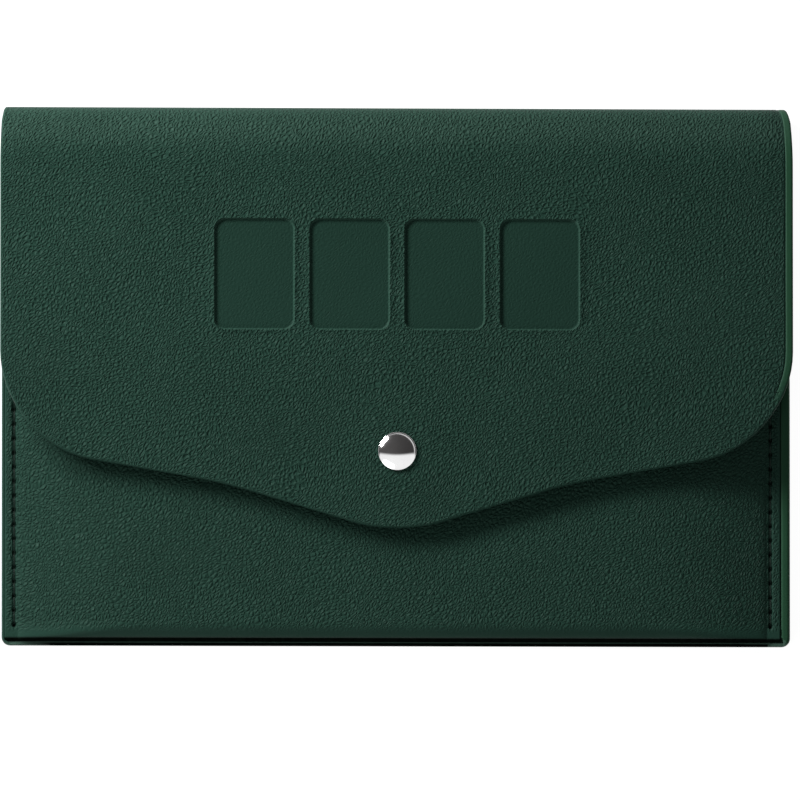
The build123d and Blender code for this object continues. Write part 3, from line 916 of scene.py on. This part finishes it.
bmesh.ops.spin(
    bm, geom=points + edges, cent=(0, snap_y, 0), axis=(0, 0, 1), angle=2 * pi, steps=96,
    use_merge=True, use_duplicate=False,
)
bmesh.ops.remove_doubles(bm, verts=bm.verts[:], dist=hair)
cap = as_piece(bm, "polished_cap")

# %% [markdown]
# A small helper adds a node and fills its inputs, with values or with other nodes' outputs. Effects
# that more than one finish uses are node groups with named sockets, so a finish is a short list of
# what it is made of.

# %% Node helpers
def add_node(tree, kind, inputs=None, **settings):
    """Adds a node, sets it up and fills its inputs with values or links."""
    made = tree.nodes.new(kind)
    for key, value in settings.items():
        setattr(made, key, value)
    for key, value in (inputs or {}).items():
        if isinstance(value, bpy.types.NodeSocket):
            tree.links.new(value, made.inputs[key])
        else:
            made.inputs[key].default_value = value
    return made


def math_node(tree, operation, first, second=0.0, third=0.0):
    """The result of a sum on one, two or three values."""
    return add_node(tree, "ShaderNodeMath", {0: first, 1: second, 2: third}, operation=operation).outputs[0]


def soft_range(tree, value, low, high, out_low=0.0, out_high=1.0):
    """A value eased from one range to another."""
    inputs = {"Value": value, "From Min": low, "From Max": high, "To Min": out_low, "To Max": out_high}
    return add_node(tree, "ShaderNodeMapRange", inputs, interpolation_type="SMOOTHSTEP").outputs[0]


def blend_color(tree, share, first, second):
    """Two colours mixed by a share."""
    mix = add_node(tree, "ShaderNodeMix", data_type="RGBA", blend_type="MIX")
    for key, value in ((0, share), (6, first), (7, second)):
        if isinstance(value, bpy.types.NodeSocket):
            tree.links.new(value, mix.inputs[key])
        else:
            mix.inputs[key].default_value = value
    return mix.outputs[2]


def new_group(name, inputs, outputs):
    """An empty node group with named sockets, its tree, its inputs and its output node."""
    tree = bpy.data.node_groups.new(name, "ShaderNodeTree")
    for socket, kind, value in inputs:
        made = tree.interface.new_socket(socket, in_out="INPUT", socket_type=kind)
        if value is not None:
            made.default_value = value
    for socket, kind in outputs:
        tree.interface.new_socket(socket, in_out="OUTPUT", socket_type=kind)
    return tree, tree.nodes.new("NodeGroupInput").outputs, tree.nodes.new("NodeGroupOutput")


# %% [markdown]
# Leather grain is a net of fine creases round small pebbles, which are longer one way than the other
# and slant across the hide. A Voronoi pattern's distance to its cell edges draws the net, and noise
# bends it so that no two pebbles match. A plain noise would give lumps, but no creases between them.

# %% Pebbled grain
tree, given, result = new_group(
    "Pebbled grain",
    [("Vector", "NodeSocketVector", None), ("Slant", "NodeSocketFloat", radians(-48)),
     ("Length", "NodeSocketFloat", 1.4 * mm), ("Width", "NodeSocketFloat", 0.92 * mm)],
    [("Height", "NodeSocketFloat"), ("Valley", "NodeSocketFloat")],
)
drift = add_node(
    tree, "ShaderNodeTexNoise", {"Vector": given["Vector"], "Scale": 45.0, "Detail": 1.0}
).outputs["Color"]
drifted = add_node(
    tree, "ShaderNodeVectorMath", {0: drift, 1: (0.007, 0.007, 0.0), 2: given["Vector"]},
    operation="MULTIPLY_ADD",
).outputs[0]
turned = add_node(
    tree, "ShaderNodeVectorRotate", {"Vector": drifted, "Angle": given["Slant"]}, rotation_type="Z_AXIS"
).outputs[0]
parts = add_node(tree, "ShaderNodeSeparateXYZ", {0: turned}).outputs
along_pebble = math_node(tree, "DIVIDE", parts[0], given["Length"])
across_pebble = math_node(tree, "DIVIDE", parts[1], given["Width"])
stretched = add_node(tree, "ShaderNodeCombineXYZ", {0: along_pebble, 1: across_pebble}).outputs[0]
wobble = add_node(
    tree, "ShaderNodeTexNoise", {"Vector": stretched, "Scale": 0.55, "Detail": 2.0}
).outputs["Color"]
bent = add_node(
    tree, "ShaderNodeVectorMath", {0: wobble, 1: (1.5, 1.5, 0.0), 2: stretched}, operation="MULTIPLY_ADD"
).outputs[0]
cells = add_node(
    tree, "ShaderNodeTexVoronoi", {"Vector": bent, "Scale": 1.0, "Randomness": 1.0},
    voronoi_dimensions="2D", feature="DISTANCE_TO_EDGE",
).outputs["Distance"]
bodies_of_cells = add_node(
    tree, "ShaderNodeTexVoronoi", {"Vector": bent, "Scale": 1.0, "Randomness": 1.0, "Smoothness": 0.5},
    voronoi_dimensions="2D", feature="SMOOTH_F1",
)
fine = add_node(tree, "ShaderNodeTexNoise", {"Vector": stretched, "Scale": 2.4, "Detail": 1.0}).outputs[0]
pebble = soft_range(tree, cells, 0.0, 0.42)
uneven = add_node(tree, "ShaderNodeTexNoise", {"Vector": stretched, "Scale": 0.9, "Detail": 1.0}).outputs[0]
height = math_node(tree, "MULTIPLY", pebble, soft_range(tree, uneven, 0.3, 0.7, 0.45, 1.0))
height = math_node(tree, "MULTIPLY_ADD", fine, 0.22, height)
height = math_node(tree, "MULTIPLY_ADD", bodies_of_cells.outputs["Distance"], -0.35, height)
tree.links.new(height, result.inputs["Height"])
tree.links.new(math_node(tree, "SUBTRACT", 1.0, pebble), result.inputs["Valley"])
grain_group = tree
print("grain group of", len(tree.nodes), "nodes")

# %% [markdown]
# Dye never takes quite evenly. Two noises, one wide and one fine, give clouds and specks, and each
# finish decides how much of them it takes.

# %% Uneven dye
tree, given, result = new_group(
    "Uneven dye",
    [("Vector", "NodeSocketVector", None), ("Patch", "NodeSocketFloat", 0.03)],
    [("Cloud", "NodeSocketFloat"), ("Speck", "NodeSocketFloat")],
)
scaled = add_node(
    tree, "ShaderNodeVectorMath",
    {0: given["Vector"], "Scale": math_node(tree, "DIVIDE", 1.0, given["Patch"])}, operation="SCALE",
).outputs[0]
cloud = add_node(tree, "ShaderNodeTexNoise", {"Vector": scaled, "Scale": 1.0, "Detail": 3.0}).outputs[0]
speck = add_node(tree, "ShaderNodeTexNoise", {"Vector": scaled, "Scale": 42.0, "Detail": 2.0}).outputs[0]
tree.links.new(soft_range(tree, cloud, 0.3, 0.7), result.inputs["Cloud"])
tree.links.new(soft_range(tree, speck, 0.35, 0.65), result.inputs["Speck"])
dye_group = tree
print("dye group of", len(tree.nodes), "nodes")

# %% [markdown]
# In a plain weave, warp and weft pass over and under each other in turn. Two waves a yarn wide draw
# the threads, and the product of two more says which of them lies on top.

# %% Woven cloth
tree, given, result = new_group(
    "Woven cloth",
    [("Vector", "NodeSocketVector", None), ("Yarn", "NodeSocketFloat", 0.4 * mm)],
    [("Height", "NodeSocketFloat")],
)
parts = add_node(tree, "ShaderNodeSeparateXYZ", {0: given["Vector"]}).outputs
turn_x = math_node(tree, "MULTIPLY", math_node(tree, "DIVIDE", parts[0], given["Yarn"]), pi)
turn_y = math_node(tree, "MULTIPLY", math_node(tree, "DIVIDE", parts[1], given["Yarn"]), pi)
warp = math_node(tree, "ABSOLUTE", math_node(tree, "SINE", turn_x))
weft = math_node(tree, "ABSOLUTE", math_node(tree, "SINE", turn_y))
crossing = math_node(tree, "MULTIPLY", math_node(tree, "COSINE", turn_x), math_node(tree, "COSINE", turn_y))
over = soft_range(tree, crossing, -0.2, 0.2)
woven = add_node(tree, "ShaderNodeMix", {0: over, 2: warp, 3: weft}, data_type="FLOAT").outputs[0]
tree.links.new(woven, result.inputs["Height"])
weave_group = tree
print("weave group of", len(tree.nodes), "nodes")

# %% [markdown]
# The leather is a deep green and nearly matt. The grain's valleys are painted a little darker as shade
# in its creases, and rubbed pebbles are lighter. Painted highlights lighten the fold, the crest lines
# along the rims and the tiles' edges. The turned rim has no grain and is dyed a greener tone. The edge
# along the base, the underside of the rolled base and the needle holes are darkened with a matt inking,
# partly edge paint and partly painted shade, which mirrors nothing, so it is a material of its own.

# %% Leather
deep_green = (0.0150, 0.0440, 0.0315, 1)
# Darker green: painted shade in the grain's creases, and the tone of dye clouds and of the pressed floors.
crease_shade_and_dye_green = (0.0045, 0.0165, 0.0110, 1)
rubbed_green = (0.030, 0.066, 0.050, 1)
# Lighter green for painted highlights.
painted_highlight_green = (0.060, 0.115, 0.088, 1)
rim_green = (0.0165, 0.058, 0.030, 1)
# Near black for edge paint and for painted shade in holes and crevices.
ink_and_shade_black = (0.0012, 0.0022, 0.0016, 1)
ink_and_shade_green = (0.0030, 0.0060, 0.0042, 1)


def new_material(name):
    """A material with its tree and its Principled shader."""
    material = bpy.data.materials.new(name)
    material.use_nodes = True
    tree = material.node_tree
    return material, tree, tree.nodes["Principled BSDF"]


def leather_material(name, bump_height):
    """Grained leather for a piece that has the strip map and the marks."""
    material, tree, shader = new_material(name)
    strip = add_node(tree, "ShaderNodeUVMap", uv_map="strip").outputs[0]
    grain_share, rim_share, ink_and_shade_share, painted_highlight_share, pressed_share = (
        add_node(tree, "ShaderNodeAttribute", attribute_name=mark).outputs["Fac"] for mark in mark_names
    )
    grain_node = add_node(tree, "ShaderNodeGroup", {"Vector": strip}, node_tree=grain_group)
    dye = add_node(tree, "ShaderNodeGroup", {"Vector": strip}, node_tree=dye_group)
    valley = math_node(tree, "MULTIPLY", grain_node.outputs["Valley"], grain_share)
    # Painted shade: the grain's valleys are darkened a little, as shade in its creases.
    tone = blend_color(tree, math_node(tree, "MULTIPLY", valley, 0.3), deep_green, crease_shade_and_dye_green)
    rubbed = math_node(tree, "MULTIPLY", soft_range(tree, grain_node.outputs["Height"], 0.75, 1.05), 0.2)
    tone = blend_color(tree, math_node(tree, "MULTIPLY", rubbed, grain_share), tone, rubbed_green)
    tone = blend_color(tree, math_node(tree, "MULTIPLY", dye.outputs["Cloud"], 0.12), tone, crease_shade_and_dye_green)
    tone = blend_color(tree, math_node(tree, "MULTIPLY", pressed_share, 0.4), tone, crease_shade_and_dye_green)
    tone = blend_color(tree, rim_share, tone, rim_green)
    # Painted highlights lighten the fold, the crest lines along the rims and the tiles' edges.
    tone = blend_color(tree, painted_highlight_share, tone, painted_highlight_green)
    # The inking darkens the leather to near black, partly as edge paint and partly as painted shade.
    tone = blend_color(tree, ink_and_shade_share, tone, ink_and_shade_black)
    tree.links.new(tone, shader.inputs["Base Color"])
    rough = math_node(tree, "MULTIPLY_ADD", dye.outputs["Speck"], 0.1, 0.46)
    tree.links.new(math_node(tree, "MULTIPLY_ADD", valley, 0.15, rough), shader.inputs["Roughness"])
    shader.inputs["Specular IOR Level"].default_value = 0.06
    relief = math_node(tree, "MULTIPLY", grain_node.outputs["Height"], grain_share)
    relief = math_node(tree, "MULTIPLY_ADD", dye.outputs["Speck"], 0.06, relief)
    bump = add_node(tree, "ShaderNodeBump", {"Height": relief, "Strength": 1.0, "Distance": bump_height})
    tree.links.new(bump.outputs[0], shader.inputs["Normal"])
    return material


def ink_and_shade_material(name, size):
    """Matt edge inking, which also stands for painted shade in holes and crevices, brushed on a little
    unevenly.
    """
    material, tree, shader = new_material(name)
    strip = add_node(tree, "ShaderNodeUVMap", uv_map="strip").outputs[0]
    dye = add_node(tree, "ShaderNodeGroup", {"Vector": strip, "Patch": size}, node_tree=dye_group)
    tree.links.new(blend_color(tree, dye.outputs["Cloud"], ink_and_shade_black, ink_and_shade_green), shader.inputs["Base Color"])
    tree.links.new(soft_range(tree, dye.outputs["Speck"], 0, 1, 0.8, 0.95), shader.inputs["Roughness"])
    shader.inputs["Specular IOR Level"].default_value = 0.0
    return material


outer_leather = leather_material("outer_leather", 0.34 * mm)
edge_ink_and_shade = ink_and_shade_material("edge_ink_and_shade", 2 * mm)
print("leather and ink, with", len(outer_leather.node_tree.nodes), "nodes in the leather")

# %% [markdown]
# The lining is a plain dark weave, and the thread is twisted, so its strands run slantwise. Foam and
# metal need no map: a noise in the piece's own space is enough, on a rough surface for the foam and a
# very smooth one for the polished cap.

# %% Cloth, foam and thread
def cloth_material(name, dark, light, yarn):
    """Woven cloth on the strip coordinates."""
    material, tree, shader = new_material(name)
    strip = add_node(tree, "ShaderNodeUVMap", uv_map="strip").outputs[0]
    weave = add_node(tree, "ShaderNodeGroup", {"Vector": strip, "Yarn": yarn}, node_tree=weave_group)
    tone = blend_color(tree, weave.outputs["Height"], dark, light)
    tree.links.new(tone, shader.inputs["Base Color"])
    tree.links.new(soft_range(tree, weave.outputs["Height"], 0, 1, 0.9, 0.72), shader.inputs["Roughness"])
    shader.inputs["Sheen Weight"].default_value = 0.03
    shader.inputs["Specular IOR Level"].default_value = 0.06
    woven = {"Height": weave.outputs["Height"], "Strength": 0.8, "Distance": 0.1 * mm}
    tree.links.new(add_node(tree, "ShaderNodeBump", woven).outputs[0], shader.inputs["Normal"])
    return material


def thread_material(name, dark, light, turn_length):
    """Twisted thread, whose strands run slantwise round it."""
    material, tree, shader = new_material(name)
    place = add_node(tree, "ShaderNodeTexCoord").outputs["Object"]
    parts = add_node(tree, "ShaderNodeSeparateXYZ", {0: place}).outputs
    slanted = math_node(tree, "ADD", parts[1], parts[0])
    strand = math_node(tree, "SINE", math_node(tree, "MULTIPLY", slanted, 2 * pi / turn_length))
    shade = soft_range(tree, strand, -1, 1)
    tree.links.new(blend_color(tree, shade, dark, light), shader.inputs["Base Color"])
    tree.links.new(soft_range(tree, strand, -1, 1, 0.7, 0.5), shader.inputs["Roughness"])
    shader.inputs["Specular IOR Level"].default_value = 0.15
    twisted = {"Height": shade, "Strength": 0.8, "Distance": 0.06 * mm}
    tree.links.new(add_node(tree, "ShaderNodeBump", twisted).outputs[0], shader.inputs["Normal"])
    return material


def speckled_material(name, dark, light, size, roughness, bump_height, metallic=0.0):
    """A plain finish with fine specks, in the piece's own space."""
    material, tree, shader = new_material(name)
    place = add_node(tree, "ShaderNodeTexCoord").outputs["Object"]
    speckling = {"Vector": place, "Scale": 1 / size, "Detail": 3.0}
    specks = add_node(tree, "ShaderNodeTexNoise", speckling).outputs[0]
    mask = soft_range(tree, specks, 0.35, 0.65)
    tree.links.new(blend_color(tree, mask, dark, light), shader.inputs["Base Color"])
    dull = soft_range(tree, specks, 0.3, 0.7, roughness * 0.85, roughness * 1.15)
    tree.links.new(dull, shader.inputs["Roughness"])
    shader.inputs["Metallic"].default_value = metallic
    bump = add_node(tree, "ShaderNodeBump", {"Height": specks, "Strength": 0.5, "Distance": bump_height})
    tree.links.new(bump.outputs[0], shader.inputs["Normal"])
    return material


cloth_dark, cloth_light = (0.008, 0.020, 0.015, 1), (0.024, 0.050, 0.038, 1)
foam_dark, foam_light = (0.45, 0.42, 0.34, 1), (0.62, 0.58, 0.48, 1)
thread_dark, thread_light = (0.0034, 0.0100, 0.0070, 1), (0.0085, 0.0230, 0.0168, 1)
nickel_dark, nickel_light = (0.50, 0.50, 0.49, 1), (0.62, 0.62, 0.60, 1)
steel_dark, steel_light = (0.42, 0.42, 0.43, 1), (0.55, 0.55, 0.56, 1)
polish_dark, polish_light = (0.88, 0.88, 0.88, 1), (0.92, 0.92, 0.92, 1)
lining_cloth = cloth_material("lining_cloth", cloth_dark, cloth_light, 0.45 * mm)
thread = thread_material("seam_thread", thread_dark, thread_light, 0.6 * mm)
foam = speckled_material("filling", foam_dark, foam_light, 0.8 * mm, 0.9, 0.1 * mm)
nickel = speckled_material("snap_metal", nickel_dark, nickel_light, 1.5 * mm, 0.3, 0.01 * mm, 1.0)
steel = speckled_material("spring_wire", steel_dark, steel_light, 1.0 * mm, 0.35, 0.01 * mm, 1.0)
mirror = speckled_material("polished_cap", polish_dark, polish_light, 4 * mm, 0.10, 0.0002 * mm, 1.0)
print("finishes", [made.name for made in (lining_cloth, thread, foam, nickel, steel, mirror)])

# %% [markdown]
# Each new piece takes a finish, and the leather pieces take the matt inking, which also carries
# painted shade, as a second material. The snap's inner parts have the right shape already, so they
# keep their own mesh and only get their metal.

# %% Dressing the pieces
finishes = [
    (flap_leather, outer_leather, "outer_leather"), (back_leather, outer_leather, "outer_leather"),
    (front_leather, outer_leather, "outer_leather"), (flap_filling, foam, "filling"),
    (back_filling, foam, "filling"), (flap_cloth, lining_cloth, "lining_cloth"),
    (back_cloth, lining_cloth, "lining_cloth"), (front_cloth, lining_cloth, "lining_cloth"),
    (cap, mirror, "polished_cap"),
] + [(row, thread, "seam_thread") for row in thread_rows.values()]
for piece, material, slot in finishes:
    piece.data.materials.append(material)
for piece in (flap_leather, back_leather, front_leather):
    piece.data.materials.append(edge_ink_and_shade)
for name, material in (
    ("snap_socket", nickel), ("snap_stud", nickel), ("stud_eyelet", nickel), ("socket_spring", steel),
):
    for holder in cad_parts[name].material_slots:
        holder.link = "OBJECT"
        holder.material = material
print("dressed", len(finishes), "pieces")

# %% [markdown]
# The layers of the strip, from the back to the flap, are baked where they lie and ride on no body.
# Everything else is stiff enough to ride on one body: the front, its lining and the stitches on the
# pouch, and the cap on the flap.

# %% Riding
for piece in (back_leather, back_filling, back_cloth):
    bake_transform(piece)
for piece in (flap_leather, flap_filling, flap_cloth):
    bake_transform(piece)
for piece in (front_leather, front_cloth, *thread_rows.values()):
    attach(piece, "pouch")
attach(cap, "flap")

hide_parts("back_panel")
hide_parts("flap_panel", "fold_panel")
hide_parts("front_panel")
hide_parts("back_foam")
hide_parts("flap_foam", "fold_foam")
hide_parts("back_lining")
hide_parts("flap_lining", "fold_lining")
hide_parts("front_lining")
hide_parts("snap_cap")
for node_name, row in thread_rows.items():
    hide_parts(node_name)

# %% [markdown]
# The fillings are padding, and the linings are cloth. All are glued to the wall, so nothing hangs or
# drapes and no cloth needs to be simulated.

# %% [markdown]
# The floor is one large plain sheet. The camera and reflections see it pale, but its own colour is a
# dark grey, so it throws little light back on the leather, and it keeps a faint shadow of the pouch.

# %% Floor
bm = bmesh.new()
bmesh.ops.create_grid(bm, x_segments=1, y_segments=1, size=2.5)
floor = as_piece(bm, "floor")
material, tree, shader = new_material("floor")
rays = add_node(tree, "ShaderNodeLightPath").outputs
mirrored = math_node(tree, "MAXIMUM", rays["Is Glossy Ray"], rays["Is Transmission Ray"])
seen = math_node(tree, "MAXIMUM", rays["Is Camera Ray"], mirrored)
matte = add_node(tree, "ShaderNodeBsdfDiffuse", {"Color": (0.2, 0.2, 0.2, 1)}).outputs[0]
glow_share = math_node(tree, "MULTIPLY", seen, 0.95)
glow = add_node(tree, "ShaderNodeEmission", {"Color": (1, 1, 1, 1), "Strength": glow_share}).outputs[0]
both = add_node(tree, "ShaderNodeAddShader", {0: matte, 1: glow}).outputs[0]
tree.links.new(both, tree.nodes["Material Output"].inputs["Surface"])
floor.data.materials.append(material)

# %% [markdown]
# The camera sees a white sky, and the light that it gives is grey. What metal mirrors is a studio's:
# white beyond the pouch's base and near the floor, and a dark ceiling, which gives the cap its dark
# upper half and its white lower half. It follows from the direction alone.

# %% Sky
world = bpy.data.worlds.new("studio")
scene.world = world
world.use_nodes = True
tree = world.node_tree
rays = add_node(tree, "ShaderNodeLightPath").outputs
seen = math_node(tree, "MAXIMUM", rays["Is Camera Ray"], rays["Is Transmission Ray"])
toward_sky = add_node(tree, "ShaderNodeTexCoord").outputs["Generated"]
direction = add_node(tree, "ShaderNodeSeparateXYZ", {0: toward_sky}).outputs
sideways_square = math_node(tree, "MULTIPLY", direction[0], direction[0])
horizon = math_node(tree, "MULTIPLY_ADD", sideways_square, -0.15, direction[1])
below = soft_range(tree, horizon, -0.3, -0.12, 1.0, 0.0)
low = soft_range(tree, direction[2], 0.3, 0.4, 1.0, 0.0)
white_share = math_node(tree, "MAXIMUM", below, low)
ceiling_left, ceiling_right = (0.080, 0.077, 0.077, 1), (0.045, 0.043, 0.043, 1)
grey = blend_color(tree, soft_range(tree, direction[0], -0.7, 0.8), ceiling_left, ceiling_right)
mirrored = blend_color(tree, white_share, grey, (0.95, 0.95, 0.95, 1))
ambient = (0.2, 0.21, 0.21, 1)
sky = blend_color(tree, rays["Is Glossy Ray"], ambient, mirrored)
sky = blend_color(tree, seen, sky, (1, 1, 1, 1))
tree.links.new(sky, tree.nodes["Background"].inputs["Color"])
print("sky of", len(tree.nodes), "nodes")

# %% [markdown]
# One large lamp, low at the upper left, gives the slope from light to dark across the leather and
# lights the fold. A weak one near the base fills the pocket.

# %% Lamps
def hang_lamp(name, place, width, height, energy):
    """A rectangular lamp that faces the object's middle."""
    data = bpy.data.lights.new(name, "AREA")
    data.shape = "RECTANGLE"
    data.size = width
    data.size_y = height
    data.energy = energy
    lamp = bpy.data.objects.new(name, data)
    lamp.location = place
    lamp.rotation_euler = (-Vector(place)).to_track_quat("-Z", "Y").to_euler()
    scene.collection.objects.link(lamp)
    print(name, "at", place, "with", energy, "W")


hang_lamp("key_lamp", (-0.50, 0.40, 0.32), 0.44, 0.17, 9.5)
hang_lamp("fill_lamp", (-0.20, -0.34, 0.20), 0.30, 0.20, 0.5)

# %% [markdown]
# The photograph is taken from almost straight above, from a little left and below. The camera here
# stands far off, which keeps parallel edges nearly parallel, and its lens follows from how wide the
# flap is in the picture.

# %% Camera
image_pixels = 800
flap_pixels = 794.4
aim_pixel = Vector((397.2, 375.2))
camera_distance = 6.0
sideways = radians(-3.3)
from_below = radians(3.0)
scale = flap_pixels / (2 * flap_half)
middle = Vector((0, 0, flap_top))
offset = (Vector((image_pixels / 2, image_pixels / 2)) - aim_pixel) / scale
aim = middle + Vector((offset.x, -offset.y, 0))
camera_data = bpy.data.cameras.new("camera")
camera_data.sensor_width = 36
camera_data.lens = scale * camera_distance * camera_data.sensor_width / image_pixels
camera = bpy.data.objects.new("camera", camera_data)
toward = Vector((tan(sideways), -tan(from_below), 1)).normalized()
right = Vector((0, 1, 0)).cross(toward).normalized()
upward = toward.cross(right)
turn = Matrix((right, upward, toward)).transposed().to_4x4()
camera.matrix_world = Matrix.Translation(aim + toward * camera_distance) @ turn
scene.collection.objects.link(camera)
scene.camera = camera
scene.view_settings.view_transform = "Standard"
print("camera", tuple(round(c, 3) for c in camera.location), "lens", round(camera_data.lens, 1))
